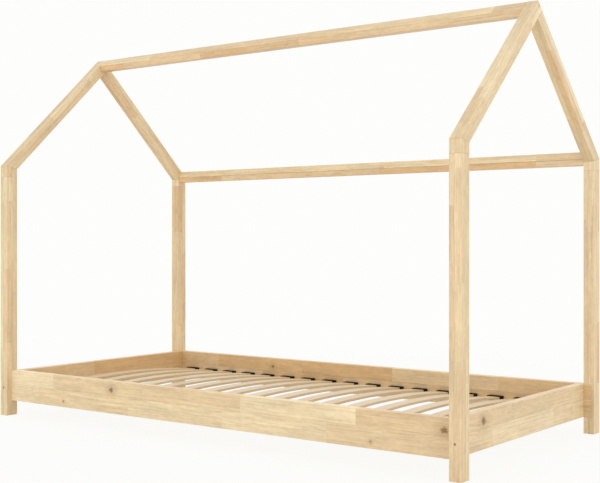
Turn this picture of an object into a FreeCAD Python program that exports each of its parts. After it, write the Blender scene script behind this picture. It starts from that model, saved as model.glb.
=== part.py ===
import FreeCAD, Part
import math
import os

# House frame bed for a child: a low slatted bed box between four posts,
# whose two gables carry a ridge beam and a rear eave beam.
# Millimetres, +Z up, X along the bed, -Y is the open front.
# The pieces are laid out from the front left corner of the feet, and the
# export moves the origin to the middle of the footprint, on the floor.

# ---- driving dimensions -------------------------------------------------

# mattress that the box holds
mattress_length = 1600.0
mattress_width = 800.0
mattress_end_play = 22.7
mattress_side_play = 2.2

# timber sections
post_width = 34.0           # along X, also the thickness of the gables
post_depth = 44.3           # along Y
rafter_depth = 37.1         # square to the slope
beam_width = 34.0           # along Y
beam_height = 41.2
board_thickness = 26.0
board_height = 102.2
ledger_width = 28.8
ledger_height = 24.7
edge_round = 1.5

# heights above the floor
board_bottom = 50.3
ledger_bottom = 54.6
eave_height = 847.7         # outer top corner of the gable frames
ridge_height = 1261.8
knee_height = 37.1          # short upright that ends each rafter

# places of the boards and of the rear beam
rail_setback = 18.3         # outer face of a side rail, behind the post's
housing_depth = 25.0        # how far a side rail runs into its post
housing_play = 0.2
eave_beam_inset = 6.2       # back face of the rear beam, inside the post's
eave_beam_drop = 21.6       # its underside, below the eave corner

# sprung slats and their end caps
slat_width = 42.2
slat_thickness = 8.2
slat_crown = 22.1           # rise of the middle over the ends
slat_spacing = 93.8         # from the middle of one slat to the next
slat_edge_round = 2.5
slat_end_rise = 5.6         # middle of a slat's end, above the ledger
first_slat_offset = 63.9    # from the left end board to the first slat's middle
last_slat_margin = 35.0     # least distance from the last one to the right board
cap_depth = 20.6
cap_height = 13.9
cap_wall = 3.6
cap_back_wall = 3.0
cap_round = 1.2
cap_gap = 0.5               # between cap and side rail
cap_play = 0.15             # round the slat, inside the cap
cap_end_play = 1.0
peg_radius = 4.0
peg_length = 12.0

# screws: rail screws sit in counterbores, wood screws are countersunk
rail_screw_rise = 43.1      # above the lower edge of the rail
rail_screw_radius = 2.5
rail_screw_reach = 33.0     # from the underside of the head to the tip
rail_head_radius = 3.7
rail_head_height = 3.0
rail_head_recess = 1.5
hex_socket_radius = 2.3
hex_socket_depth = 2.0
screw_tip_radius = 0.4
wood_screw_radius = 2.0
wood_head_radius = 4.0
wood_head_height = 2.6
ledger_screw_length = 40.0
ledger_screw_rise = 12.4
ledger_screw_step = 5       # one screw after so many slats

# wood dowels and cam fittings in the hidden joints
dowel_radius = 4.0
dowel_chamfer = 0.8
knee_dowel_reach = 18.0     # into each side of the glued mitre
post_dowel_down = 22.0
post_dowel_up = 10.0
post_dowel_inset = 12.0     # from the front face of the post
apex_dowel_ahead = 20.0
apex_dowel_back = 24.0
apex_dowel_inset = 11.0     # from the outer face of the gable
beam_dowel_in = 11.0        # into the gable
beam_dowel_out = 24.0       # into the beam
beam_dowel_rise = 19.0      # above the cam bolt
board_dowel_rise = 62.0     # above the cam bolt of an end board
cam_radius = 7.5
cam_thickness = 12.0
cam_distance = 34.0         # from the joint to the middle of the cam
cam_axis_depth = 8.0        # from the cam's open face to the bolt
cam_groove_radius = 1.2
bolt_thread_radius = 2.5
bolt_thread_length = 11.0
bolt_shank_radius = 1.8
bolt_head_radius = 3.0
bolt_head_length = 5.0
bore_play = 0.1
head_play = 0.2
end_play = 0.3

# ---- derived sizes ------------------------------------------------------

inner_length = mattress_length + 2 * mattress_end_play
inner_width = mattress_width + 2 * mattress_side_play
length = inner_length + 2 * (board_thickness + post_width)
width = inner_width + 2 * (board_thickness + rail_setback)
middle_x = length / 2
middle_y = width / 2
board_top = board_bottom + board_height
post_top = eave_height - knee_height
ledger_top = ledger_bottom + ledger_height
rail_inner_y = rail_setback + board_thickness
end_board_inner_x = post_width + board_thickness

pitch = math.atan2(ridge_height - eave_height, middle_y)
slope = math.tan(pitch)
rafter_drop = rafter_depth / math.cos(pitch)
knee_inner_height = eave_height + post_depth * slope - rafter_drop
apex_inner_height = ridge_height - rafter_drop
# where the underside of the front rafter meets the rear roof plane
lap_y = middle_y + rafter_depth / (2 * math.sin(pitch))
lap_z = ridge_height - (lap_y - middle_y) * slope

ridge_bottom = ridge_height - beam_height
eave_beam_bottom = eave_height - eave_beam_drop
eave_beam_top = eave_beam_bottom + beam_height
eave_beam_back = width - eave_beam_inset
eave_beam_front = eave_beam_back - beam_width

slat_run = inner_length - first_slat_offset - last_slat_margin
slat_count = int(slat_run / slat_spacing) + 1
slat_end_y = rail_inner_y + cap_gap + cap_back_wall + cap_end_play
slat_half_span = middle_y - slat_end_y
slat_radius = (slat_half_span ** 2 + slat_crown ** 2) / (2 * slat_crown)
slat_end_z = ledger_top + slat_end_rise
slat_centre_z = slat_end_z + slat_crown - slat_radius
slat_end_angle = math.asin(slat_half_span / slat_radius)
cap_width = slat_width + 2 * cap_wall

V = FreeCAD.Vector
X = V(1, 0, 0)
Y = V(0, 1, 0)
Z = V(0, 0, 1)


# ---- shape helpers ------------------------------------------------------

def block(x0, x1, y0, y1, z0, z1):
    """Box between two corners."""
    return Part.makeBox(x1 - x0, y1 - y0, z1 - z0, V(x0, y0, z0))


def rod(start, direction, reach, radius):
    """Round bar from a point."""
    return Part.makeCylinder(radius, reach, start, direction)


def cone(start, direction, reach, radius0, radius1):
    """Round bar that changes its radius from start to end."""
    return Part.makeCone(radius0, radius1, reach, start, direction)


def prism_along_x(outline, x0, x1):
    """Bar along X with a closed outline of (y, z) points."""
    corners = [V(x0, y, z) for y, z in outline]
    wire = Part.makePolygon(corners + corners[:1])
    return Part.Face(wire).extrude(V(x1 - x0, 0, 0))


def eased(solid, direction, radius):
    """Round the straight edges that run along one direction."""
    unit = V(direction).normalize()
    edges = []
    for edge in solid.Edges:
        if edge.Curve.TypeId != "Part::GeomLine":
            continue
        along = edge.tangentAt(edge.FirstParameter)
        if abs(abs(along.dot(unit)) - 1.0) < 1e-6:
            edges.append(edge)
    return solid.makeFillet(radius, edges)


def mirror_x(shape):
    """The same piece at the other end of the bed."""
    return shape.mirror(V(middle_x, 0, 0), X)


def mirror_y(shape):
    """The same piece on the other long side of the bed."""
    return shape.mirror(V(0, middle_y, 0), Y)


def hexagon_bar(centre, direction, reach, radius):
    """Six-sided bar, for a socket in a screw head."""
    corners = []
    for step in range(7):
        turn = math.radians(60 * step)
        corners.append(V(radius * math.cos(turn), radius * math.sin(turn), 0))
    bar = Part.Face(Part.makePolygon(corners)).extrude(V(0, 0, reach))
    bar.Placement = FreeCAD.Placement(centre, FreeCAD.Rotation(Z, direction))
    return bar


# ---- fasteners: each gives its solid and the bore that it needs ----------

def dowel(joint, direction, ahead, back):
    """Chamfered wood dowel across a joint face."""
    unit = V(direction).normalize()
    start = joint - unit * back
    core = ahead + back - 2 * dowel_chamfer
    body = rod(start + unit * dowel_chamfer, unit, core, dowel_radius)
    tip = dowel_radius - dowel_chamfer
    near = cone(start, unit, dowel_chamfer, tip, dowel_radius)
    far_start = joint + unit * (ahead - dowel_chamfer)
    far = cone(far_start, unit, dowel_chamfer, dowel_radius, tip)
    bore_start = start - unit * end_play
    bore_length = ahead + back + 2 * end_play
    bore = rod(bore_start, unit, bore_length, dowel_radius + bore_play)
    return body.fuse([near, far]).removeSplitter(), bore


def rail_screw(surface, inward):
    """Socket screw sunk in the face of a post, tip in the rail's end."""
    seat = surface + inward * (rail_head_recess + rail_head_height)
    head_start = surface + inward * rail_head_recess
    head = rod(head_start, inward, rail_head_height, rail_head_radius)
    shank_length = rail_screw_reach - rail_screw_radius
    shank = rod(seat, inward, shank_length, rail_screw_radius)
    tip_start = seat + inward * shank_length
    tip = cone(tip_start, inward, rail_screw_radius, rail_screw_radius,
               screw_tip_radius)
    socket = hexagon_bar(head_start, inward, hex_socket_depth, hex_socket_radius)
    solid = head.fuse([shank, tip]).removeSplitter().cut(socket)
    head_bore_depth = rail_head_recess + rail_head_height
    head_bore = rod(surface, inward, head_bore_depth, rail_head_radius + bore_play)
    shank_bore_length = rail_screw_reach + end_play
    shank_bore = rod(seat, inward, shank_bore_length, rail_screw_radius + bore_play)
    return solid, head_bore.fuse(shank_bore)


def wood_screw(surface, inward, screw_length):
    """Countersunk screw, its head flush with the surface."""
    start = surface + inward * bore_play
    head = cone(start, inward, wood_head_height, wood_head_radius, wood_screw_radius)
    shank_start = start + inward * wood_head_height
    shank_length = screw_length - wood_head_height - wood_screw_radius
    shank = rod(shank_start, inward, shank_length, wood_screw_radius)
    tip_start = shank_start + inward * shank_length
    tip = cone(tip_start, inward, wood_screw_radius, wood_screw_radius,
               screw_tip_radius)
    solid = head.fuse([shank, tip]).removeSplitter()
    head_bore = cone(surface, inward, wood_head_height + bore_play,
                     wood_head_radius + head_play,
                     wood_screw_radius + bore_play)
    shank_bore = rod(surface, inward, screw_length + end_play,
                     wood_screw_radius + bore_play)
    return solid, head_bore.fuse(shank_bore)


def cam_fitting(joint, into_mate, to_face):
    """Cam bolt and cam. The bolt's thread is in the mate, its head in the
    cam, which sits in a bore that opens on the face towards to_face.
    Returns the bolt with its bore, then the cam with its bore."""
    back = V(into_mate) * -1
    head_middle = joint + back * cam_distance
    thread = rod(joint, into_mate, bolt_thread_length, bolt_thread_radius)
    shank_length = cam_distance - bolt_head_length / 2
    shank = rod(joint, back, shank_length, bolt_shank_radius)
    head_start = joint + back * shank_length
    head = rod(head_start, back, bolt_head_length, bolt_head_radius)
    bolt = thread.fuse([shank, head]).removeSplitter()
    thread_bore = rod(joint, into_mate, bolt_thread_length + end_play,
                      bolt_thread_radius + bore_play)
    shank_bore = rod(joint, back, cam_distance, bolt_head_radius + head_play)
    bolt_bore = thread_bore.fuse(shank_bore)

    face = head_middle + to_face * cam_axis_depth
    cam_top = face - to_face * bore_play
    cam = rod(cam_top, to_face * -1, cam_thickness, cam_radius)
    mouth_back = bolt_head_length / 2 + end_play
    mouth = rod(head_middle + back * mouth_back, into_mate,
                mouth_back + cam_radius + end_play, bolt_head_radius + bore_play)
    side = V(into_mate).cross(to_face)
    groove = rod(cam_top - side * cam_radius, side, 2 * cam_radius, cam_groove_radius)
    cam = cam.cut(mouth).cut(groove)
    cam_bore = rod(face, to_face * -1, cam_thickness + end_play + bore_play,
                   cam_radius + bore_play)
    return (bolt, bolt_bore), (cam, cam_bore)


# ---- the fasteners in their places --------------------------------------

fasteners = {}


def add_fastener(group, pair):
    """Put one fastener, with its bore, in a named group."""
    fasteners.setdefault(group, []).append(pair)


def place_rail_screws():
    """One screw through each post into the end of its side rail."""
    height = board_bottom + rail_screw_rise
    for x in (post_width / 2, length - post_width / 2):
        add_fastener("rail_screws", rail_screw(V(x, 0, height), Y))
        add_fastener("rail_screws", rail_screw(V(x, width, height), Y * -1))


def place_end_board_joints():
    """Dowel and cam fitting between each end of an end board and its rail."""
    bolt_z = board_bottom + cam_axis_depth
    board_middle = post_width + board_thickness / 2
    for x in (board_middle, length - board_middle):
        for y, outward in ((rail_inner_y, Y * -1), (width - rail_inner_y, Y)):
            bolt, cam = cam_fitting(V(x, y, bolt_z), outward, Z * -1)
            add_fastener("cam_bolts_board", bolt)
            add_fastener("cams_board", cam)
            peg_point = V(x, y, bolt_z + board_dowel_rise)
            peg = dowel(peg_point, outward, beam_dowel_in, beam_dowel_out)
            add_fastener("dowels_board", peg)


def place_ledger_screws():
    """Screws between the slats, through the ledgers into the side rails."""
    z = ledger_bottom + ledger_screw_rise
    face = rail_inner_y + ledger_width
    for gap in range(0, slat_count - 1, ledger_screw_step):
        x = slat_x(gap) + slat_spacing / 2
        front = wood_screw(V(x, face, z), Y * -1, ledger_screw_length)
        add_fastener("ledger_screws", front)
        rear = wood_screw(V(x, width - face, z), Y, ledger_screw_length)
        add_fastener("ledger_screws", rear)


def place_post_joints():
    """Dowel and cam fitting between each post and the knee on it."""
    for x in (post_width / 2, length - post_width / 2):
        for front_y in (0, width - post_depth):
            peg_point = V(x, front_y + post_dowel_inset, post_top)
            peg = dowel(peg_point, Z, post_dowel_up, post_dowel_down)
            add_fastener("dowels_post", peg)
            back_y = front_y + post_depth
            bolt_point = V(x, back_y - cam_axis_depth, post_top)
            bolt, cam = cam_fitting(bolt_point, Z, Y)
            add_fastener("cam_bolts_post", bolt)
            add_fastener("cams_post", cam)


def place_knee_dowels():
    """One glued dowel square across each mitre of knee and rafter."""
    seam = V(0, post_depth, knee_inner_height - eave_height)
    middle_z = (eave_height + knee_inner_height) / 2
    for x in (post_width / 2, length - post_width / 2):
        upward = V(0, -seam.z, seam.y)
        front = V(x, post_depth / 2, middle_z)
        add_fastener("dowels_knee", dowel(front, upward, knee_dowel_reach, knee_dowel_reach))
        upward = V(0, seam.z, seam.y)
        rear = V(x, width - post_depth / 2, middle_z)
        add_fastener("dowels_knee", dowel(rear, upward, knee_dowel_reach, knee_dowel_reach))


def place_apex_dowels():
    """One glued dowel where the rear rafter butts under the front one."""
    y = (middle_y + lap_y) / 2
    z = (apex_inner_height + lap_z) / 2
    upward = V(0, -math.sin(pitch), math.cos(pitch))
    for x in (apex_dowel_inset, length - apex_dowel_inset):
        peg = dowel(V(x, y, z), upward, apex_dowel_ahead, apex_dowel_back)
        add_fastener("dowels_apex", peg)


def place_beam_joints(beam, y, underside):
    """Dowel and cam fitting at both ends of a beam between the gables."""
    bolt_z = underside + cam_axis_depth
    for x, outward in ((post_width, X * -1), (length - post_width, X)):
        bolt, cam = cam_fitting(V(x, y, bolt_z), outward, Z * -1)
        add_fastener("cam_bolts_" + beam, bolt)
        add_fastener("cams_" + beam, cam)
        peg_point = V(x, y, bolt_z + beam_dowel_rise)
        peg = dowel(peg_point, outward, beam_dowel_in, beam_dowel_out)
        add_fastener("dowels_" + beam, peg)


def slat_x(index):
    """Middle of one slat, counted from the left end."""
    return end_board_inner_x + first_slat_offset + index * slat_spacing


# ---- wooden pieces ------------------------------------------------------

def post_blank():
    """Front left post with the corner notch that houses its side rail."""
    post = block(0, post_width, 0, post_depth, 0, post_top)
    post = eased(post, Z, edge_round)
    housing = block(post_width - housing_depth - end_play, post_width,
                    rail_setback - housing_play, rail_inner_y + housing_play,
                    board_bottom, board_top + housing_play)
    return post.cut(housing)


def knee_blank():
    """Front left knee: the short upright that ends the rafter."""
    outline = [(0, post_top), (post_depth, post_top),
               (post_depth, knee_inner_height), (0, eave_height)]
    return eased(prism_along_x(outline, 0, post_width), Z, edge_round)


def front_rafter_blank():
    """Left front rafter, which runs through to the rear roof plane."""
    outline = [(0, eave_height), (post_depth, knee_inner_height),
               (lap_y, lap_z), (middle_y, ridge_height)]
    uphill = V(0, math.cos(pitch), math.sin(pitch))
    return eased(prism_along_x(outline, 0, post_width), uphill, edge_round)


def rear_rafter_blank():
    """Left rear rafter, which butts against the front one's underside."""
    outline = [(width, eave_height), (width - post_depth, knee_inner_height),
               (middle_y, apex_inner_height), (lap_y, lap_z)]
    uphill = V(0, -math.cos(pitch), math.sin(pitch))
    return eased(prism_along_x(outline, 0, post_width), uphill, edge_round)


def ridge_beam_blank():
    """Ridge beam, its top bevelled to both roof planes."""
    half = beam_width / 2
    shoulder = ridge_height - half * slope
    outline = [(middle_y - half, ridge_bottom), (middle_y + half, ridge_bottom),
               (middle_y + half, shoulder), (middle_y, ridge_height),
               (middle_y - half, shoulder)]
    beam = prism_along_x(outline, post_width, length - post_width)
    return eased(beam, X, edge_round)


def rear_eave_beam_blank():
    """Rear beam, its outer top edge bevelled to the roof plane."""
    back_top = eave_height + eave_beam_inset * slope
    bevel_y = width - (eave_beam_top - eave_height) / slope
    outline = [(eave_beam_front, eave_beam_bottom), (eave_beam_back, eave_beam_bottom),
               (eave_beam_back, back_top), (bevel_y, eave_beam_top),
               (eave_beam_front, eave_beam_top)]
    beam = prism_along_x(outline, post_width, length - post_width)
    return eased(beam, X, edge_round)


def side_rail_blank():
    """Front side rail, both ends housed in the posts."""
    start = post_width - housing_depth
    rail = block(start, length - start, rail_setback, rail_inner_y,
                 board_bottom, board_top)
    return eased(rail, X, edge_round)


def end_board_blank():
    """Left end board, between the side rails and level with the post's inner face."""
    board = block(post_width, end_board_inner_x, rail_inner_y, width - rail_inner_y,
                  board_bottom, board_top)
    return eased(board, Y, edge_round)


def ledger_blank():
    """Front ledger strip that carries the slat caps."""
    strip = block(end_board_inner_x, length - end_board_inner_x,
                  rail_inner_y, rail_inner_y + ledger_width,
                  ledger_bottom, ledger_top)
    strip = eased(strip, X, edge_round)
    peg_y = rail_inner_y + cap_gap + cap_depth / 2
    for index in range(slat_count):
        start = V(slat_x(index), peg_y, ledger_top)
        hole = rod(start, Z * -1, peg_length + end_play, peg_radius + bore_play)
        strip = strip.cut(hole)
    return strip


def slat(index):
    """One sprung slat, crowned towards the mattress."""
    half = slat_thickness / 2
    x0 = slat_x(index) - slat_width / 2
    centre = V(x0, middle_y, slat_centre_z)

    def point(radius, angle):
        return centre + V(0, radius * math.sin(angle), radius * math.cos(angle))

    outer = slat_radius + half
    inner = slat_radius - half
    end = slat_end_angle
    top = Part.Arc(point(outer, -end), point(outer, 0), point(outer, end)).toShape()
    right = Part.makeLine(point(outer, end), point(inner, end))
    low = Part.Arc(point(inner, end), point(inner, 0), point(inner, -end)).toShape()
    left = Part.makeLine(point(inner, -end), point(outer, -end))
    face = Part.Face(Part.Wire([top, right, low, left]))
    bar = face.extrude(V(slat_width, 0, 0))
    arcs = [edge for edge in bar.Edges if edge.Curve.TypeId == "Part::GeomCircle"]
    return bar.makeFillet(slat_edge_round, arcs)


def front_cap(index):
    """Cap on the front end of a slat, pegged to the ledger."""
    x = slat_x(index)
    y0 = rail_inner_y + cap_gap
    cap = block(x - cap_width / 2, x + cap_width / 2, y0, y0 + cap_depth,
                ledger_top, ledger_top + cap_height)
    upper = [edge for edge in cap.Edges
             if edge.BoundBox.ZMin > ledger_top + cap_round]
    cap = cap.makeFillet(cap_round, upper)
    slot_width = slat_width + 2 * cap_play
    slot_height = slat_thickness + 2 * cap_play
    slot = block(-slot_width / 2, slot_width / 2, -cap_end_play / 2, cap_depth + cap_wall,
                 -slot_height / 2, slot_height / 2)
    slot.rotate(V(0, 0, 0), X, math.degrees(slat_end_angle))
    slot.translate(V(x, slat_end_y, slat_end_z))
    peg = rod(V(x, y0 + cap_depth / 2, ledger_top), Z * -1, peg_length, peg_radius)
    return cap.cut(slot).fuse(peg).removeSplitter()


# ---- assembly and export ------------------------------------------------

place_rail_screws()
place_end_board_joints()
place_ledger_screws()
place_post_joints()
place_knee_dowels()
place_apex_dowels()
place_beam_joints("ridge", middle_y, ridge_bottom)
place_beam_joints("eave", (eave_beam_front + eave_beam_back) / 2, eave_beam_bottom)

bores = [bore for pairs in fasteners.values() for solid, bore in pairs]


def drilled(blank):
    """Cut every fastener's bore that reaches into this piece."""
    for bore in bores:
        if blank.BoundBox.intersect(bore.BoundBox):
            blank = blank.cut(bore)
    return blank


nodes = {}

front_left = {"post": post_blank(), "knee": knee_blank()}
for name, blank in front_left.items():
    nodes[name + "_front_left"] = drilled(blank)
    nodes[name + "_front_right"] = drilled(mirror_x(blank))
    nodes[name + "_rear_left"] = drilled(mirror_y(blank))
    nodes[name + "_rear_right"] = drilled(mirror_x(mirror_y(blank)))

for name, blank in (("rafter_front", front_rafter_blank()),
                    ("rafter_rear", rear_rafter_blank()),
                    ("end_board", end_board_blank())):
    nodes[name + "_left"] = drilled(blank)
    nodes[name + "_right"] = drilled(mirror_x(blank))

for name, blank in (("side_rail", side_rail_blank()), ("slat_ledger", ledger_blank())):
    nodes[name + "_front"] = drilled(blank)
    nodes[name + "_rear"] = drilled(mirror_y(blank))

nodes["ridge_beam"] = drilled(ridge_beam_blank())
nodes["rear_eave_beam"] = drilled(rear_eave_beam_blank())

front_caps = []
for index in range(slat_count):
    nodes["slat_%02d" % (index + 1)] = slat(index)
    front_caps.append(front_cap(index))
nodes["slat_caps_front"] = Part.makeCompound(front_caps)
nodes["slat_caps_rear"] = Part.makeCompound([mirror_y(cap) for cap in front_caps])

for group, pairs in fasteners.items():
    nodes[group] = Part.makeCompound([solid for solid, bore in pairs])

os.makedirs("parts", exist_ok=True)
to_origin = V(-middle_x, -middle_y, 0)
for name, shape in nodes.items():
    shape.translate(to_origin)
    shape.exportStep("parts/" + name + ".step")

print("nodes", len(nodes), "slats", slat_count)
print("length", length, "width", width, "height", ridge_height)
print("roof pitch", round(math.degrees(pitch), 2), "slat radius", round(slat_radius, 1))
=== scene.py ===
"""House frame bed: finishes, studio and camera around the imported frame.

Laid out as an add-on and run as a script. Metres, in the frame's own axes:
X along the bed, -Y towards the open front, Z up.
"""

import math
import random

import bpy
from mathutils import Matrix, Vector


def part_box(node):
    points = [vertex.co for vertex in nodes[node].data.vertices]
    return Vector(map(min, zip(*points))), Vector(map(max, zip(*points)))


bl_info = {
    "name": "House frame bed",
    "version": (1, 0, 0),
    "blender": (4, 5, 0),
    "location": "View3D > Sidebar > House bed",
    "description": "Wood, plastic and metal finishes and a studio for a house frame bed",
    "category": "Object",
}

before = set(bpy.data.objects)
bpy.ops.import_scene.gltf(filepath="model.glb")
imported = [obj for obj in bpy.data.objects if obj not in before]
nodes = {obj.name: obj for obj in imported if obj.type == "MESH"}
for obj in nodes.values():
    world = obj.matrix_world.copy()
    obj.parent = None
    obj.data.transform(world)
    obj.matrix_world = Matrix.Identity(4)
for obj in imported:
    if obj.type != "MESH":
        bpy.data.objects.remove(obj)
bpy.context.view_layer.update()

FRONT_LEFT_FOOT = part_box("post_front_left")
POST_DEPTH = FRONT_LEFT_FOOT[1].y - FRONT_LEFT_FOOT[0].y
POST_TOP = FRONT_LEFT_FOOT[1].z
HALF_WIDTH = -FRONT_LEFT_FOOT[0].y
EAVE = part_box("knee_front_left")[1].z
KNEE_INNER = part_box("rafter_front_left")[0].z
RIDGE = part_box("rafter_front_left")[1].z
ROOF_PITCH = math.atan2(RIDGE - EAVE, HALF_WIDTH)
MITRE_FALL = EAVE - KNEE_INNER
RAFTER_DEPTH = MITRE_FALL * math.cos(ROOF_PITCH) + POST_DEPTH * math.sin(ROOF_PITCH)

# Staves that the photograph shows on the boards: for each row, counted from
# below, where a stave starts along the board and its tone from dark to pale.
# A start of -1.0 lies before the board's end. BOARD_ROW is the height of the
# glue line between the two rows, over the middle of the board.
BOARD_ROW = 0.0047
STAVES = {
    "side_rail_front": {
        0: ((-1.0, 0.88), (-0.733, 0.66), (-0.283, 0.78), (0.098, 0.84), (0.468, 0.5),
            (0.644, 0.42)),
        1: ((-1.0, 0.96), (-0.631, 0.52), (-0.22, 0.46), (0.165, 0.87), (0.56, 0.3)),
    },
    # seen only from inside the bed: its tones are set darker, partly for its staves and
    # partly as painted shade of the bed's inside
    "side_rail_rear": {
        0: ((-1.0, 0.2), (-0.711, 0.34), (-0.412, 0.08), (-0.042, 0.24), (0.319, 0.12),
            (0.69, 0.3)),
        1: ((-1.0, 0.24), (-0.634, 0.06), (-0.227, 0.04), (0.159, 0.45), (0.564, 0.2)),
    },
    "end_board_right": {
        0: ((-1.0, 0.53), (-0.206, 0.83), (0.185, 0.7)),
        1: ((-1.0, 0.45), (-0.089, 0.47), (0.299, 0.62)),
    },
    # seen only from inside the bed: its tones are set darker, partly for its staves and
    # partly as painted shade of the bed's inside
    "end_board_left": {
        0: ((-1.0, 0.12), (-0.216, 0.3), (0.093, 0.1)),
        1: ((-1.0, 0.22), (-0.068, 0.0)),
    },
}
# Knots: place along and across the board, side of the board, radius.
KNOTS = {
    "side_rail_front": (
        (-0.3624, 0.0232, -1, 0.0108),
        (-0.5849, -0.0314, -1, 0.0043),
        (0.6068, -0.0319, -1, 0.0037),
        (0.8262, 0.0196, -1, 0.0124),
        (0.1186, -0.0103, 1, 0.0072),
    ),
    "side_rail_rear": (
        (-0.3659, 0.0211, -1, 0.0072),
        (-0.5256, 0.0185, 1, 0.0103),
        (0.3293, -0.0206, 1, 0.0052),
    ),
    "end_board_right": (
        (-0.2606, 0.0232, 1, 0.0139),
        (0.2163, 0.0206, -1, 0.0062),
    ),
    "end_board_left": (
        (0.1236, 0.0155, -1, 0.0093),
    ),
}
# One knot, in multiples of its radius: where its core, its halo and the bend
# of the grain round it start and where they are full.
KNOT_CORE_REACH = (1.05, 0.3)
KNOT_HALO_REACH = (3.0, 0.6)
KNOT_BEND_REACH = (4.0, 0.0)
KNOT_CORE_DEPTH = 0.88
KNOT_HALO_DEPTH = 0.24
KNOT_SQUEEZE = 0.8          # along the grain
KNOT_CRACKS = 1.9           # how far cracks reach out of it
KNOT_RAGGED = 0.9           # raggedness of its rim, in radii
CRACK_CELLS = (2.4, 30.0)   # of the cracks' noise: round the knot, and per metre outwards
CRACK_SHIFT = 50.0          # of that noise from knot to knot
RAGGED_CELLS = (240.0, 40.0)  # per metre: on the face, and into the board

# Noises of the wood: cells per metre along the stave and across it, detail,
# roughness, and the directions in which each stave's own number moves them.
GRAIN = {
    "wave": (2.6, 14.0, 1.0, 0.5, "uw"),
    "ripple": (14.0, 90.0, 2.0, 0.5, "u"),
    "streak": (5.0, 170.0, 2.0, 0.6, "uw"),
    "fibre": (16.0, 800.0, 3.0, 0.6, "u"),
    "pores": (90.0, 1100.0, 1.0, 0.5, "v"),
    "flecks": (34.0, 210.0, 2.0, 0.5, "v"),
    "figure": (36.0, 105.0, 3.0, 0.6, "uw"),
    "mottle": (6.0, 22.0, 2.0, 0.5, "v"),
}
# Darkness across one growth line of the wood and of the veneer.
RING_PROFILE = ((0.0, 0.0), (0.45, 0.08), (0.86, 1.0), (0.94, 0.9), (1.0, 0.0))
VENEER_PROFILE = ((0.0, 0.0), (0.6, 0.2), (0.88, 1.0), (1.0, 0.0))
STAVE_SHIFT = 40.0          # of the noises, between the darkest and the palest stave
SLAT_SHIFT = 30.0           # of the noises from slat to slat
PITH_LOTS = (13.7, 7.3)     # turn a stave's tone into two numbers like drawn ones
PITH_SPREAD = 0.07          # of the rings' middle, across the face
PITH_DEPTH = (0.022, 0.05)  # of the rings' middle: least, and what a stave adds
RING_WAVE = 0.014
RING_RIPPLE = 0.0018
RING_BEND = 0.008           # round a knot
PORE_LEVEL = (0.13, 0.22)   # of the noise, where a pore starts and is full
FLECK_LEVEL = (0.05, 0.19)
FLECK_TONES = (0.85, 0.15)  # of the staves with the fewest flecks and with the most
FEWEST_FLECKS = 0.3
END_FACE = (0.55, 0.8)      # of the normal along the grain, on sawn ends
SIDE_FACE = (0.5, 0.8)      # of the normal along the bed, on a slat's cut sides
ARRIS_HIGHLIGHT_WIDTH = 0.003
PAINTED_TOP_BAND = (0.0006, 0.0001)  # below the upper edge, over which the painted highlight of the top sets in
PLY_GLUE = (0.40, 0.49)     # from the middle of a ply, in plies

# Fine marks of the small parts: cells per metre along x, y and z.
CAP_GRAIN = (1400.0, 1400.0, 1400.0)
CAP_WEAR = (60.0, 60.0, 60.0)
DOWEL_FIBRE = (400.0, 400.0, 60.0)
TURNING_MARKS = (2500.0, 300.0, 2500.0)
DULL_SPOTS = (180.0, 180.0, 180.0)

# Soft boxes: place, and turn in degrees.
FRONT_LIGHT = ((-1.2, -6.4, 1.5), (82, 0, -10))
RIGHT_LIGHT = ((6.6, -1.2, 1.4), (82, 0, 80))
SENSOR_WIDTH = 36.0         # millimetres


# ---- settings -----------------------------------------------------------

def colour(name, description, default):
    """A colour that the user may change."""
    return bpy.props.FloatVectorProperty(
        name=name, description=description, default=default,
        size=3, min=0.0, max=1.0, subtype="COLOR")


def length(name, description, default):
    """A length in metres that the user may change."""
    return bpy.props.FloatProperty(
        name=name, description=description, default=default,
        min=0.0, subtype="DISTANCE", unit="LENGTH")


def share(name, description, default, highest=1.0):
    """A plain number that the user may change."""
    return bpy.props.FloatProperty(
        name=name, description=description, default=default,
        min=0.0, max=highest, subtype="FACTOR")


class HouseBedWood(bpy.types.PropertyGroup):
    """Glued staves of the frame and the boards."""

    pale: colour("Pale stave", "Lightest staves", (0.875, 0.735, 0.485))
    mid: colour("Middle stave", "Most of the staves", (0.80, 0.637, 0.388))
    warm: colour("Warm stave", "Reddish staves", (0.755, 0.572, 0.345))
    dark: colour("Dark stave", "Darkest staves", (0.705, 0.465, 0.225))
    latewood: colour("Latewood", "Growth lines", (0.60, 0.37, 0.17))
    knot: colour("Knot", "Middle of a knot", (0.20, 0.085, 0.008))
    shortest_stave: length("Shortest stave", "Between two finger joints", 0.14)
    longest_stave: length("Longest stave", "Between two finger joints", 0.40)
    ring_spacing: length("Ring spacing", "Distance between growth lines", 0.0038)
    finger_length: length("Finger length", "Depth of a finger joint", 0.008)
    finger_pitch: length("Finger pitch", "Width of one finger", 0.005)
    glue_line: length("Glue line", "Width of the line between strips", 0.0007)
    seam: length("Seam", "Width of the line between two pieces", 0.0016)
    grain: share("Grain", "How far the growth lines show", 0.26)
    streaks: share("Streaks", "How far lengthwise streaks show", 0.42)
    figure: share("Figure", "How far short cloudy marks show", 0.36)
    fibre: share("Fibre", "How far fine fibres show", 0.14)
    mottle: share("Mottle", "How far broad clouds show", 0.34)
    flecks: share("Flecks", "How far short dark flecks show", 0.34)
    pores: share("Pores", "How far open pores show", 0.12)
    end_grain: share("End grain", "How much darker the sawn ends are", 0.14)
    seam_shade: share("Seam shade", "How dark the line between two pieces is", 0.25)
    # painted highlight: lightens the rounded edges as if light caught them
    painted_arris_highlight: share("Arris", "How much paler the rounded edges are", 0.05)
    # painted highlight: lightens the boards' upper edges as if light fell on them from
    # above
    painted_top_light_share: share("Pale edge", "How much paler the boards' upper edges are", 0.2)
    roughness: share("Roughness", "Satin varnish", 0.38)
    gloss: share("Gloss", "Reflection of the varnish", 0.5)
    relief: length("Relief", "Depth of the grain", 0.00022)


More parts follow.
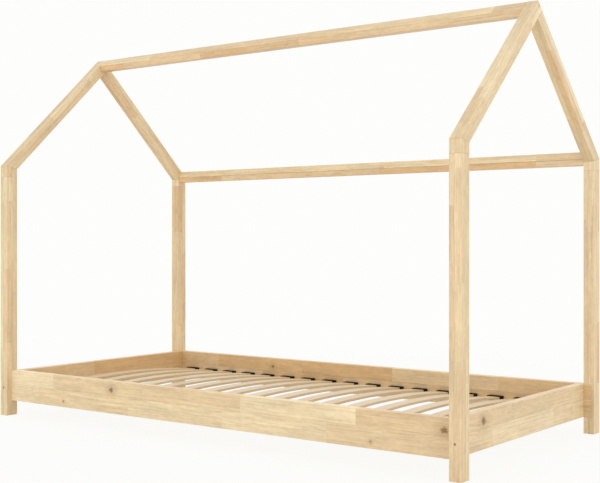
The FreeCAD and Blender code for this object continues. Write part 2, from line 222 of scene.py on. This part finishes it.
class HouseBedSlats(bpy.types.PropertyGroup):
    """Veneer slats, their caps and the hidden hardware."""

    veneer: colour("Veneer", "Top of a slat", (0.84, 0.665, 0.43))
    veneer_dark: colour("Dark veneer", "Darker slats", (0.79, 0.60, 0.36))
    ply_line: colour("Ply line", "Glue between the plies", (0.46, 0.30, 0.16))
    thickness: length("Thickness", "All plies of a slat together", 0.0082)
    ply: length("Ply", "Thickness of one ply", 0.00164)
    line_spacing: length("Line spacing", "Between two growth lines of the veneer", 0.0042)
    line_sway: length("Line sway", "How far the growth lines wander", 0.011)
    lines: share("Lines", "How far the growth lines show", 0.10)
    fibre: share("Fibre", "How far fine fibres show", 0.14)
    mottle: share("Mottle", "How far broad clouds show", 0.14)
    streaks: share("Streaks", "How far lengthwise streaks show", 0.16)
    side_shade: share("Side shade", "How much darker the cut sides are", 0.10)
    cross_shade: share("Cross shade", "What a crosswise ply adds to that", 0.08)
    glue: share("Glue", "How far the glue lines show on the cut sides", 0.35)
    roughness: share("Roughness", "Surface of the veneer", 0.36)
    gloss: share("Gloss", "Reflection of the veneer", 0.5)
    relief: length("Relief", "Depth of the veneer's grain", 0.00015)
    plastic: colour("Plastic", "Slat caps", (0.007, 0.005, 0.004))
    steel: colour("Steel", "Screws and bolts", (0.56, 0.56, 0.57))
    brown_steel: colour("Brown steel", "Screws in the posts", (0.62, 0.46, 0.28))
    zinc: colour("Zinc", "Cams", (0.62, 0.62, 0.64))
    dowel: colour("Dowel", "Turned dowels", (0.66, 0.46, 0.26))


class HouseBedStudio(bpy.types.PropertyGroup):
    """Floor, light and camera."""

    background: colour("Background", "What the camera sees round the bed",
                       (0.985, 0.985, 0.970))
    floor: colour("Floor", "Pale studio floor", (0.96, 0.95, 0.93))
    floor_roughness: share("Floor roughness", "Surface of the floor", 0.9)
    floor_size: length("Floor size", "Side of the square floor", 40.0)
    shadow_share: share("Shadow", "How far the floor shows the bed's shadow", 0.09)
    shadow_reach: length("Shadow reach", "Where the floor turns plain", 3.2)
    ambient: colour("Ambient", "Light from all round", (1.0, 0.99, 0.97))
    ambient_strength: share("Ambient strength", "Light from all round", 0.85, 10.0)
    lamp_size: length("Lamp size", "Side of each soft box", 5.0)
    key_power: bpy.props.FloatProperty(
        name="Key power", description="Soft box over the open front",
        default=84.0, min=0.0, subtype="POWER", unit="POWER")
    side_power: bpy.props.FloatProperty(
        name="Side power", description="Soft box beyond the right gable",
        default=80.0, min=0.0, subtype="POWER", unit="POWER")
    camera_place: bpy.props.FloatVectorProperty(
        name="Camera", description="Place of the camera",
        default=(2.1875, -2.8634, 0.5984), size=3, subtype="TRANSLATION", unit="LENGTH")
    camera_turn: bpy.props.FloatProperty(
        name="Camera turn", description="Turn to the left of straight back",
        default=0.64576, subtype="ANGLE", unit="ROTATION")
    lens: bpy.props.FloatProperty(
        name="Lens", description="Focal length in millimetres on a 36 mm sensor",
        default=66.438, min=1.0)
    shift: bpy.props.FloatVectorProperty(
        name="Shift", description="Shift of the view, as a share of its width",
        default=(0.01202, -0.00371), size=2)


# ---- shader expressions -------------------------------------------------

class Value:
    """A shader socket that takes part in Python arithmetic."""

    def __init__(self, shader, socket):
        self.shader = shader
        self.socket = socket

    def __add__(self, other):
        return self.shader.math("ADD", self, other)

    def __sub__(self, other):
        return self.shader.math("SUBTRACT", self, other)

    def __rsub__(self, other):
        return self.shader.math("SUBTRACT", other, self)

    def __mul__(self, other):
        return self.shader.math("MULTIPLY", self, other)

    def __truediv__(self, other):
        return self.shader.math("DIVIDE", self, other)

    def __gt__(self, other):
        return self.shader.math("GREATER_THAN", self, other)

    def __abs__(self):
        return self.shader.math("ABSOLUTE", self)

    __radd__ = __add__
    __rmul__ = __mul__


class Shader:
    """A node tree that is written as expressions."""

    def __init__(self, owner):
        owner.use_nodes = True
        self.tree = owner.node_tree

    def node(self, kind, settings=None, inputs=None, output=0):
        """Add a node: its settings first, then the values or links of its sockets."""
        made = self.tree.nodes.new(kind)
        for name, value in (settings or {}).items():
            if name == "stops":
                lay_stops(made.color_ramp, value)
            elif name == "interpolation" and kind == "ShaderNodeValToRGB":
                made.color_ramp.interpolation = value
            else:
                setattr(made, name, value)
        for name, value in (inputs or {}).items():
            if isinstance(value, Value):
                self.tree.links.new(value.socket, made.inputs[name])
            else:
                made.inputs[name].default_value = value
        return Value(self, made.outputs[output])

    def math(self, operation, *values):
        """One Math node."""
        return self.node("ShaderNodeMath", {"operation": operation},
                         dict(enumerate(values)))

    def clamp(self, value):
        """The value, held between 0 and 1."""
        return self.node("ShaderNodeClamp", None, {"Value": value})

    def fraction(self, value):
        """What stands behind the value's point."""
        return self.math("FRACT", value)

    def highest(self, first, *others):
        """The largest of some values."""
        for other in others:
            first = self.math("MAXIMUM", first, other)
        return first

    def root_of_squares(self, a, b):
        """Distance whose two legs are given."""
        return self.math("SQRT", a * a + b * b)

    def ease(self, value, low, high):
        """0 at low, 1 at high, smooth between them."""
        return self.node("ShaderNodeMapRange", {"interpolation_type": "SMOOTHSTEP"},
                         {"Value": value, "From Min": low, "From Max": high})

    def ramp(self, value, stops, interpolation="LINEAR"):
        """Colour or grey at a value, between stops."""
        settings = {"interpolation": interpolation, "stops": stops}
        return self.node("ShaderNodeValToRGB", settings, {"Fac": value})

    def mix(self, share_of_second, first, second):
        """Colour between two colours."""
        return self.node("ShaderNodeMix", {"data_type": "RGBA"},
                         {0: share_of_second, 6: solid(first), 7: solid(second)}, 2)

    def scale(self, tone, by):
        """Colour made lighter or darker by a number."""
        return self.node("ShaderNodeVectorMath", {"operation": "SCALE"},
                         {0: tone, "Scale": by})

    def join(self, x, y, z):
        """Three numbers as a vector."""
        return self.node("ShaderNodeCombineXYZ", None, {0: x, 1: y, 2: z})

    def split(self, vector):
        """A vector as three numbers."""
        whole = self.node("ShaderNodeSeparateXYZ", None, {0: vector})
        outputs = whole.socket.node.outputs
        return [Value(self, outputs[axis]) for axis in range(3)]

    def place(self):
        """Object coordinates, in metres, as three numbers."""
        return self.split(self.node("ShaderNodeTexCoord", output="Object"))

    def normal(self):
        """The surface's normal in the object's axes, as three numbers."""
        return self.split(self.node("ShaderNodeTexCoord", output="Normal"))

    def noise(self, x, y, z, detail=2.0, roughness=0.5):
        """Noise about 0 whose cells are one unit of the coordinates."""
        whole = self.node("ShaderNodeTexNoise", None,
                          {"Vector": self.join(x, y, z), "Scale": 1.0,
                           "Detail": detail, "Roughness": roughness})
        return whole - 0.5

    def speckle(self, cells, detail):
        """Noise about 0, with its number of cells per metre along x, y and z."""
        x, y, z = self.place()
        return self.noise(x * cells[0], y * cells[1], z * cells[2], detail)


class Finish(Shader):
    """One material, from its name to its surface."""

    def __init__(self, name):
        self.material = bpy.data.materials.new(name)
        super().__init__(self.material)
        self.surface = self.tree.nodes["Principled BSDF"]

    def feed(self, name, value):
        """Link or set one socket of the surface."""
        if isinstance(value, Value):
            self.tree.links.new(value.socket, self.surface.inputs[name])
        else:
            self.surface.inputs[name].default_value = value

    def bump(self, height, depth):
        """Relief of a given depth in metres."""
        relief = self.node("ShaderNodeBump", None, {"Height": height, "Distance": depth})
        self.feed("Normal", relief)


def lay_stops(ramp, stops):
    """Set a ramp's stops from (place, colour or grey) pairs."""
    while len(ramp.elements) > 1:
        ramp.elements.remove(ramp.elements[-1])
    for index, (at, tone) in enumerate(stops):
        stop = ramp.elements[0] if index == 0 else ramp.elements.new(at)
        stop.position = at
        stop.color = solid(tone)


def solid(tone):
    """A grey, a colour or a link, as a colour socket takes it."""
    if isinstance(tone, Value):
        return tone
    if isinstance(tone, (int, float)):
        return (tone, tone, tone, 1.0)
    return (*tone, 1.0)


# ---- wood ---------------------------------------------------------------

class Timber:
    """How the grain runs in one piece: u along it, v and w across it.

    rows and layers are the glue lines across v and w, measured from the
    middle. Staves and knots that the photograph shows come from the tables,
    the other staves are drawn by lot about the tone of their row that
    usual_tone_and_shade gives; on pieces seen from inside the bed it is set
    darker, partly for their staves and partly as painted shade. seams
    are lines that show on it, as |y|, z and a normal. glue is the darkness of
    its glue lines, and painted_top_light is a painted highlight on its upper
    edge, as if light fell on it from above.
    """

    def __init__(self, node, along, rows=(), layers=(), seams=(), glue=0.25,
                 usual_tone_and_shade=(0.72, 0.72), painted_top_light=0.0):
        self.node = node
        self.along = along
        self.rows = rows
        self.layers = layers
        self.seams = seams
        self.glue = glue
        self.usual_tone_and_shade = usual_tone_and_shade
        self.painted_top_light = painted_top_light
        self.staves = STAVES.get(node, {})
        self.knots = KNOTS.get(node, ())
        self.low, self.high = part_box(node)
        self.random = random.Random(node)

    def coordinates(self, finish):
        """u, v, w from the middle of the piece, and the normal along u."""
        x, y, z = finish.place()
        nx, ny, nz = finish.normal()
        middle = (self.low + self.high) / 2
        if self.along == "x":
            return x - middle.x, z - middle.z, y - middle.y, nx
        if self.along == "y":
            return y - middle.y, z - middle.z, x - middle.x, ny
        if self.along == "z":
            return z - middle.z, y - middle.y, x - middle.x, nz
        side = 1.0 if self.along == "front slope" else -1.0
        across, up = side * math.cos(ROOF_PITCH), math.sin(ROOF_PITCH)
        u = y * across + z * up - (middle.y * across + middle.z * up)
        top = HALF_WIDTH * math.sin(ROOF_PITCH) + EAVE * math.cos(ROOF_PITCH)
        v = z * math.cos(ROOF_PITCH) - y * (side * up) - (top - RAFTER_DEPTH / 2)
        return u, v, x - middle.x, ny * across + nz * up

    @property
    def size(self):
        """Reach along u, v and w."""
        reach = self.high - self.low
        if self.along == "x":
            return reach.x, reach.z, reach.y
        if self.along == "y":
            return reach.y, reach.z, reach.x
        if self.along == "z":
            return reach.z, reach.y, reach.x
        return math.hypot(reach.y, reach.z), RAFTER_DEPTH, reach.x

    def draw_staves(self, look, row):
        """Staves of one strip, as (start, tone), drawn by lot."""
        reach = self.size[0]
        at = -reach / 2 - self.random.uniform(0.0, 0.8 * look.shortest_stave)
        drawn = []
        while at < reach / 2:
            usual_tone_and_shade = self.usual_tone_and_shade[row]
            low, high = max(0.0, usual_tone_and_shade - 0.6), min(1.0, usual_tone_and_shade + 0.45)
            drawn.append((at, self.random.triangular(low, high, usual_tone_and_shade)))
            at += self.random.uniform(look.shortest_stave, look.longest_stave)
        return drawn


def grain_noise(finish, kind, place, shift, bend=None):
    """One of the wood's noises, other in each stave, and bent round knots."""
    along, across, detail, roughness, moved = GRAIN[kind]
    cells = [place[0] * along, place[1] * across, place[2] * across]
    if bend is not None:
        cells[1] = cells[1] + bend
    for axis, name in enumerate("uvw"):
        if name in moved:
            cells[axis] = cells[axis] + shift
    return finish.noise(*cells, detail, roughness)


def staves(finish, look, timber, row, u, w):
    """The tone of each stave of one strip, from 0 to 1."""
    reach = timber.size[0]
    known = timber.staves.get(row) or timber.draw_staves(look, row)
    stops = [(max(0.0, start / reach + 0.5), tone) for start, tone in known]
    fingers = finish.math("PINGPONG", w, look.finger_pitch / 2)
    fingers = fingers * (2 * look.finger_length / look.finger_pitch)
    return finish.ramp((u + fingers) / reach + 0.5, stops, "CONSTANT")


def choose(masks, values):
    """The value of the strip that a point lies in, edge by edge."""
    chosen = values[0]
    for mask, value in zip(masks, values[1:]):
        chosen = chosen + (value - chosen) * mask
    return chosen


def knot_marks(finish, timber, u, v, w):
    """How far each point of a board is knot, and how far its grain bends there."""
    knot, bend = 0.0, 0.0
    for knot_u, knot_v, side, radius in timber.knots:
        away_u, away_v = (u - knot_u) * KNOT_SQUEEZE, v - knot_v
        away = finish.root_of_squares(away_u, away_v)
        cracks = finish.noise(away_u / away * CRACK_CELLS[0] + CRACK_SHIFT * knot_u,
                              away_v / away * CRACK_CELLS[0], away * CRACK_CELLS[1],
                              3.0, 0.7)
        ragged = finish.noise(u * RAGGED_CELLS[0], v * RAGGED_CELLS[0],
                              w * RAGGED_CELLS[1], 3.0, 0.7)
        cracked = away * (1.0 - cracks * KNOT_CRACKS) + ragged * (KNOT_RAGGED * radius)
        face = (w * side) > 0.0
        core, halo, bent = [
            finish.ease(reached, radius * start, radius * full)
            for reached, (start, full) in ((cracked, KNOT_CORE_REACH),
                                           (away, KNOT_HALO_REACH),
                                           (away, KNOT_BEND_REACH))]
        knot = finish.highest(knot, core * KNOT_CORE_DEPTH * face,
                              halo * KNOT_HALO_DEPTH * face)
        bend = bend + bent * face
    return knot, bend


def glued_wood(look, timber):
    """Material of one piece of glued staves."""
    finish = Finish("wood_" + timber.node)
    u, v, w, along_normal = timber.coordinates(finish)
    place = (u, v, w)
    half_v, half_w = timber.size[1] / 2, timber.size[2] / 2

    in_row = [v > edge for edge in timber.rows]
    in_layer = [w > edge for edge in timber.layers]
    strips = []
    for _ in range(len(timber.layers) + 1):
        rows = [staves(finish, look, timber, row, u, w)
                for row in range(len(timber.rows) + 1)]
        strips.append(choose(in_row, rows))
    stave = choose(in_layer, strips)

    # growth rings round a pith that lies outside the stave
    shift = stave * STAVE_SHIFT
    pith_v = (finish.fraction(stave * PITH_LOTS[0]) - 0.5) * PITH_SPREAD
    pith_w = finish.fraction(stave * PITH_LOTS[1]) * PITH_DEPTH[1] + PITH_DEPTH[0]
    wave = grain_noise(finish, "wave", place, shift)
    ripple = grain_noise(finish, "ripple", place, shift)
    knot, bend = knot_marks(finish, timber, u, v, w)
    radius = finish.root_of_squares(v - pith_v, w - pith_w)
    radius = radius + wave * RING_WAVE + ripple * RING_RIPPLE + bend * RING_BEND
    late = finish.ramp(finish.fraction(radius / look.ring_spacing), RING_PROFILE)

    # streaks, fibres and pores run along the stave
    streak = grain_noise(finish, "streak", place, shift, bend)
    fibre = grain_noise(finish, "fibre", place, shift)
    pores = finish.ease(grain_noise(finish, "pores", place, shift), *PORE_LEVEL)
    flecks = finish.ease(grain_noise(finish, "flecks", place, shift), *FLECK_LEVEL)
    many = finish.ease(stave, *FLECK_TONES) * (1.0 - FEWEST_FLECKS) + FEWEST_FLECKS
    flecks = flecks * many
    figure = grain_noise(finish, "figure", place, shift)
    mottle = grain_noise(finish, "mottle", place, shift)

    # glue lines between strips, and the line where the piece meets its neighbour
    line = 0.0
    for value, edges in ((v, timber.rows), (w, timber.layers)):
        for edge in edges:
            near = finish.ease(abs(value - edge), look.glue_line, 0.0)
            line = finish.highest(line, near)
    seam = 0.0
    for point_y, point_z, normal_y, normal_z in timber.seams:
        y, z = finish.place()[1:]
        off = (abs(y) - point_y) * normal_y + (z - point_z) * normal_z
        seam = finish.highest(seam, finish.ease(abs(off), look.seam / 2, 0.0))

    # painted highlight along the rounded edges, as if light caught them; the same mask
    # also lowers the roughness there
    painted_arris_highlight = finish.ease(abs(v), half_v - ARRIS_HIGHLIGHT_WIDTH, half_v)
    painted_arris_highlight = painted_arris_highlight * finish.ease(abs(w), half_w - ARRIS_HIGHLIGHT_WIDTH, half_w)
    end = finish.ease(abs(along_normal), *END_FACE)
    # painted highlight on a board's top face, as if light fell on it from above
    top = finish.ease(v, half_v - PAINTED_TOP_BAND[0], half_v - PAINTED_TOP_BAND[1]) * timber.painted_top_light

    tone = finish.ramp(stave, ((0.0, look.dark), (0.35, look.warm), (0.68, look.mid),
                               (1.0, look.pale)))
    tone = finish.mix(late * look.grain, tone, look.latewood)
    tone = finish.mix(flecks * look.flecks, tone, look.latewood)
    light = 1.0 + fibre * look.fibre + mottle * look.mottle - pores * look.pores
    light = light + streak * look.streaks + figure * look.figure
    light = light - line * timber.glue - seam * look.seam_shade + painted_arris_highlight * look.painted_arris_highlight
    light = light - end * look.end_grain + top
    tone = finish.scale(tone, light)
    tone = finish.mix(knot, tone, look.knot)
    finish.feed("Base Color", tone)
    rough = look.roughness + late * 0.06 - fibre * 0.12 + end * 0.15 - painted_arris_highlight * 0.08
    finish.feed("Roughness", finish.clamp(rough))
    finish.feed("Specular IOR Level", look.gloss)
    relief = fibre * 0.5 - late * 0.25 - pores * 0.5 - line - seam * 2.0 - knot * 0.4
    finish.bump(relief, look.relief)
    return finish.material


def dress(node, material):
    """Give a CAD node its finish."""
    piece = nodes[node]
    piece.data.materials.clear()
    piece.data.materials.append(material)


def toned(colour_of, by):
    """A colour, each of its parts times a number."""
    return [by * part for part in colour_of]


def seam_lines():
    """Level seam over each post and mitre over each knee, as |y|, z and a normal."""
    fall = math.hypot(POST_DEPTH, MITRE_FALL)
    level = (HALF_WIDTH, POST_TOP, 0.0, 1.0)
    mitre = (HALF_WIDTH, EAVE, -MITRE_FALL / fall, POST_DEPTH / fall)
    return level, mitre


# ---- operators ----------------------------------------------------------

class HOUSEBED_OT_posts(bpy.types.Operator):
    """Finish the four posts and the knees on them"""

    bl_idname = "housebed.posts"
    bl_label = "Posts and knees"

    def execute(self, context):
        look = context.scene.housebed_wood
        level, mitre = seam_lines()
        # the rear posts, seen from inside the bed, get darker tones: partly their staves,
        # partly painted shade
        for side, usual_tone_and_shade in (("front", (0.8, 0.8)), ("rear", (0.55, 0.6))):
            for end in ("left", "right"):
                post = Timber("post_%s_%s" % (side, end), "z", rows=(0.003,),
                              layers=(-0.002,), seams=(level,), usual_tone_and_shade=usual_tone_and_shade)
                dress(post.node, glued_wood(look, post))
                knee = Timber("knee_%s_%s" % (side, end), "z", rows=(-0.004,),
                              layers=(0.001,), seams=(level, mitre))
                dress(knee.node, glued_wood(look, knee))
        return {"FINISHED"}


class HOUSEBED_OT_rafters(bpy.types.Operator):
    """Finish the four rafters"""

    bl_idname = "housebed.rafters"
    bl_label = "Rafters"

    def execute(self, context):
        look = context.scene.housebed_wood
        mitre = seam_lines()[1]
        # the left rafters, seen from inside the bed, get darker tones: partly their
        # staves, partly painted shade
        for end, usual_tone_and_shade in (("left", (0.4, 0.5)), ("right", (0.65, 0.75))):
            for side in ("front", "rear"):
                rafter = Timber("rafter_%s_%s" % (side, end), side + " slope",
                                rows=(0.002,), layers=(0.0,), seams=(mitre,), usual_tone_and_shade=usual_tone_and_shade)
                dress(rafter.node, glued_wood(look, rafter))
        return {"FINISHED"}


class HOUSEBED_OT_beams(bpy.types.Operator):
    """Finish the ridge beam and the rear beam"""

    bl_idname = "housebed.beams"
    bl_label = "Beams"

    def execute(self, context):
        look = context.scene.housebed_wood
        ridge = Timber("ridge_beam", "x", rows=(-0.002,), layers=(0.0,),
                       usual_tone_and_shade=(0.15, 0.5))
        eave = Timber("rear_eave_beam", "x", rows=(-0.0015,), layers=(0.0,),
                      glue=0.8, usual_tone_and_shade=(0.0, 0.6))
        for beam in (ridge, eave):
            dress(beam.node, glued_wood(look, beam))
        return {"FINISHED"}


class HOUSEBED_OT_boards(bpy.types.Operator):
    """Finish the side rails and the end boards"""

    bl_idname = "housebed.boards"
    bl_label = "Rails and end boards"

    def execute(self, context):
        look = context.scene.housebed_wood
        for node, along in (("side_rail_front", "x"), ("side_rail_rear", "x"),
                            ("end_board_left", "y"), ("end_board_right", "y")):
            # every board gets the painted highlight on its upper edge
            board = Timber(node, along, rows=(BOARD_ROW,), painted_top_light=look.painted_top_light_share)
            dress(node, glued_wood(look, board))
        return {"FINISHED"}


class HOUSEBED_OT_ledgers(bpy.types.Operator):
    """Finish the strips that carry the slats"""

    bl_idname = "housebed.ledgers"
    bl_label = "Ledgers"

    def execute(self, context):
        look = context.scene.housebed_wood
        for node in ("slat_ledger_front", "slat_ledger_rear"):
            dress(node, glued_wood(look, Timber(node, "x")))
        return {"FINISHED"}


class HOUSEBED_OT_slats(bpy.types.Operator):
    """Finish the sprung slats as bent plies under a pale veneer"""

    bl_idname = "housebed.slats"
    bl_label = "Slats"

    def execute(self, context):
        look = context.scene.housebed_slats
        names = sorted(name for name in nodes if name.startswith("slat_")
                       and name[-2:].isdigit())
        low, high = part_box(names[0])
        finish = Finish("slat_veneer")
        x, y, z = finish.place()
        first = (low.x + high.x) / 2
        pitch = (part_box(names[-1])[0].x - low.x) / (len(names) - 1)
        index = finish.math("FLOOR", (x - first) / pitch + 0.5)
        own = finish.node("ShaderNodeTexWhiteNoise", {"noise_dimensions": "1D"},
                          {"W": index + 0.5})

        # plies follow the bow of the slat, odd and even ones laid crosswise
        half_span = (high.y - low.y) / 2
        rise = high.z - low.z - look.thickness
        radius = (half_span * half_span + rise * rise) / (2 * rise)
        depth = radius - finish.root_of_squares(y, z - (high.z - radius))
        plies = depth / look.ply
        ply = finish.math("FLOOR", plies)
        glue = finish.ease(abs(finish.fraction(plies) - 0.5), *PLY_GLUE)
        cross = finish.ease(finish.fraction(ply * 0.5), 0.2, 0.3)

        # growth lines and fibres of the veneer, in cells per metre, other in each slat
        shift = own * SLAT_SHIFT
        sway = finish.noise(y * 2.2 + shift, x * 26.0, ply * 3.1, 1.0)
        lines = finish.fraction((x + sway * look.line_sway) / look.line_spacing)
        lines = finish.ramp(lines, VENEER_PROFILE)
        streak = finish.noise(y * 4.0 + shift, x * 150.0, ply, 2.0, 0.6)
        fibre = finish.noise(y * 14.0 + shift, x * 900.0, z * 300.0, 3.0, 0.6)
        mottle = finish.noise(y * 5.0, x * 30.0 + shift, ply * 1.7, 2.0)
        side = finish.ease(abs(finish.normal()[0]), *SIDE_FACE)
        tone = finish.mix(own, look.veneer, look.veneer_dark)
        tone = finish.mix(lines * look.lines, tone, look.ply_line)
        light = 1.0 + fibre * look.fibre + mottle * look.mottle + streak * look.streaks
        light = light - side * (cross * look.cross_shade + look.side_shade)
        tone = finish.scale(tone, light)
        tone = finish.mix(glue * side * look.glue, tone, look.ply_line)
        finish.feed("Base Color", tone)
        rough = look.roughness - fibre * 0.12 + side * 0.2
        finish.feed("Roughness", finish.clamp(rough))
        finish.feed("Specular IOR Level", look.gloss)
        finish.bump(fibre * 0.6 - lines * 0.2 - glue * side, look.relief)
        for name in names:
            dress(name, finish.material)
        return {"FINISHED"}


class HOUSEBED_OT_caps(bpy.types.Operator):
    """Finish the plastic caps on the slats' ends"""

    bl_idname = "housebed.caps"
    bl_label = "Slat caps"

    def execute(self, context):
        look = context.scene.housebed_slats
        finish = Finish("cap_plastic")
        grain = finish.speckle(CAP_GRAIN, 2.0)
        wear = finish.speckle(CAP_WEAR, 3.0)
        worn = toned(look.plastic, 1.9)
        finish.feed("Base Color", finish.mix(finish.clamp(wear + 0.3), look.plastic, worn))
        finish.feed("Roughness", finish.clamp(0.6 + wear * 0.2 + grain * 0.06))
        finish.feed("Specular IOR Level", 0.12)
        finish.bump(grain, 0.00006)
        for node in ("slat_caps_front", "slat_caps_rear"):
            dress(node, finish.material)
        return {"FINISHED"}


class HOUSEBED_OT_joinery(bpy.types.Operator):
    """Finish the dowels, screws, bolts and cams"""

    bl_idname = "housebed.joinery"
    bl_label = "Joinery"

    def execute(self, context):
        look = context.scene.housebed_slats
        turned = Finish("dowel_wood")
        fibre = turned.speckle(DOWEL_FIBRE, 3.0)
        turned.feed("Base Color", turned.mix(fibre + 0.5, look.dowel,
                                             toned(look.dowel, 0.8)))
        turned.feed("Roughness", turned.clamp(fibre * 0.3 + 0.6))
        turned.bump(fibre, 0.0001)
        steel = plated("screw_steel", look.steel, roughness=0.30)
        brown = plated("rail_screw_steel", look.brown_steel, roughness=0.55, metallic=0.4)
        zinc = plated("cam_zinc", look.zinc, roughness=0.42)
        for name in nodes:
            if name.startswith("dowels_"):
                dress(name, turned.material)
            elif name.startswith("cams_"):
                dress(name, zinc)
            elif name == "rail_screws":
                dress(name, brown)
            elif name.endswith("screws") or name.startswith("cam_bolts_"):
                dress(name, steel)
        return {"FINISHED"}


def plated(name, tone, roughness, metallic=1.0):
    """Plated metal with faint turning marks and dull spots."""
    finish = Finish(name)
    marks = finish.speckle(TURNING_MARKS, 2.0)
    dull = finish.speckle(DULL_SPOTS, 3.0)
    finish.feed("Base Color", finish.mix(finish.clamp(dull + 0.4), tone,
                                         toned(tone, 0.72)))
    finish.feed("Metallic", metallic)
    finish.feed("Roughness", finish.clamp(roughness + dull * 0.25 + marks * 0.1))
    finish.bump(marks, 0.00003)
    return finish.material


class HOUSEBED_OT_studio(bpy.types.Operator):
    """Lay the floor, hang the lights and set the camera"""

    bl_idname = "housebed.studio"
    bl_label = "Studio"

    def execute(self, context):
        look = context.scene.housebed_studio
        lay_floor(look)
        light_all_round(context.scene, look)
        soft_box("front_light", *FRONT_LIGHT, look.lamp_size, look.key_power)
        soft_box("right_light", *RIGHT_LIGHT, look.lamp_size, look.side_power)
        bpy.ops.object.camera_add(location=look.camera_place,
                                  rotation=(math.radians(90), 0.0, look.camera_turn))
        camera = context.object
        camera.name = "camera"
        camera.data.lens = look.lens
        camera.data.sensor_width = SENSOR_WIDTH
        camera.data.shift_x, camera.data.shift_y = look.shift
        context.scene.camera = camera
        context.scene.view_settings.view_transform = "Standard"
        return {"FINISHED"}


def lay_floor(look):
    """Pale floor: the camera sees the background's colour and some of the shadow."""
    bpy.ops.mesh.primitive_plane_add(size=look.floor_size)
    floor = bpy.context.object
    floor.name = "floor"
    finish = Finish("floor")
    finish.feed("Base Color", solid(look.floor))
    finish.feed("Roughness", look.floor_roughness)
    glow = finish.node("ShaderNodeEmission", None,
                       {"Color": solid(look.background), "Strength": 1.0})
    away = finish.root_of_squares(*finish.place()[:2])
    far = finish.ease(away, look.shadow_reach / 3, look.shadow_reach)
    seen = background_rays(finish) * (far * look.shadow_share + (1.0 - look.shadow_share))
    surface = Value(finish, finish.surface.outputs[0])
    mixed = finish.node("ShaderNodeMixShader", None, {0: seen, 1: surface, 2: glow})
    output = finish.tree.nodes["Material Output"]
    finish.tree.links.new(mixed.socket, output.inputs["Surface"])
    floor.data.materials.append(finish.material)


def background_rays(shader):
    """1 for rays that show the background: the camera's, and those in gloss and glass."""
    rays = shader.node("ShaderNodeLightPath").socket.node.outputs
    kinds = ("Is Camera Ray", "Is Glossy Ray", "Is Transmission Ray")
    return shader.highest(*[Value(shader, rays[kind]) for kind in kinds])


def light_all_round(scene, look):
    """World that lights softly and shows the background behind the bed."""
    world = bpy.data.worlds.new("studio")
    scene.world = world
    sky = Shader(world)
    light = sky.node("ShaderNodeBackground", None,
                     {"Color": solid(look.ambient), "Strength": look.ambient_strength})
    shown = sky.node("ShaderNodeBackground", None,
                     {"Color": solid(look.background), "Strength": 1.0})
    mixed = sky.node("ShaderNodeMixShader", None,
                     {0: background_rays(sky), 1: light, 2: shown})
    sky.tree.links.new(mixed.socket, sky.tree.nodes["World Output"].inputs["Surface"])


def soft_box(name, place, turn, size, power):
    """Large square lamp, its turn in degrees."""
    bpy.ops.object.light_add(type="AREA", location=place,
                             rotation=[math.radians(angle) for angle in turn])
    lamp = bpy.context.object
    lamp.name = name
    lamp.data.shape = "SQUARE"
    lamp.data.size = size
    lamp.data.energy = power


class HOUSEBED_PT_panel(bpy.types.Panel):
    """Every piece and setting of the bed"""

    bl_idname = "HOUSEBED_PT_panel"
    bl_label = "House frame bed"
    bl_space_type = "VIEW_3D"
    bl_region_type = "UI"
    bl_category = "House bed"

    def draw(self, context):
        for group in (context.scene.housebed_wood, context.scene.housebed_slats,
                      context.scene.housebed_studio):
            box = self.layout.box()
            for name in group.__annotations__:
                box.prop(group, name)
        for operator in OPERATORS:
            self.layout.operator(operator.bl_idname)


OPERATORS = (HOUSEBED_OT_posts, HOUSEBED_OT_rafters, HOUSEBED_OT_beams,
             HOUSEBED_OT_boards, HOUSEBED_OT_ledgers, HOUSEBED_OT_slats,
             HOUSEBED_OT_caps, HOUSEBED_OT_joinery, HOUSEBED_OT_studio)
CLASSES = (HouseBedWood, HouseBedSlats, HouseBedStudio, *OPERATORS, HOUSEBED_PT_panel)


def register():
    """Make the settings, the operators and the panel known."""
    for item in CLASSES:
        bpy.utils.register_class(item)
    scene = bpy.types.Scene
    scene.housebed_wood = bpy.props.PointerProperty(type=HouseBedWood)
    scene.housebed_slats = bpy.props.PointerProperty(type=HouseBedSlats)
    scene.housebed_studio = bpy.props.PointerProperty(type=HouseBedStudio)


def unregister():
    """Take them back, in the other order."""
    del bpy.types.Scene.housebed_studio
    del bpy.types.Scene.housebed_slats
    del bpy.types.Scene.housebed_wood
    for item in reversed(CLASSES):
        bpy.utils.unregister_class(item)


def main():
    """Make every piece."""
    register()
    bpy.ops.object.select_all(action="DESELECT")
    bpy.ops.housebed.posts()
    bpy.ops.housebed.rafters()
    bpy.ops.housebed.beams()
    bpy.ops.housebed.boards()
    bpy.ops.housebed.ledgers()
    bpy.ops.housebed.slats()
    bpy.ops.housebed.caps()
    bpy.ops.housebed.joinery()
    bpy.ops.housebed.studio()


if __name__ == "__main__":
    main()
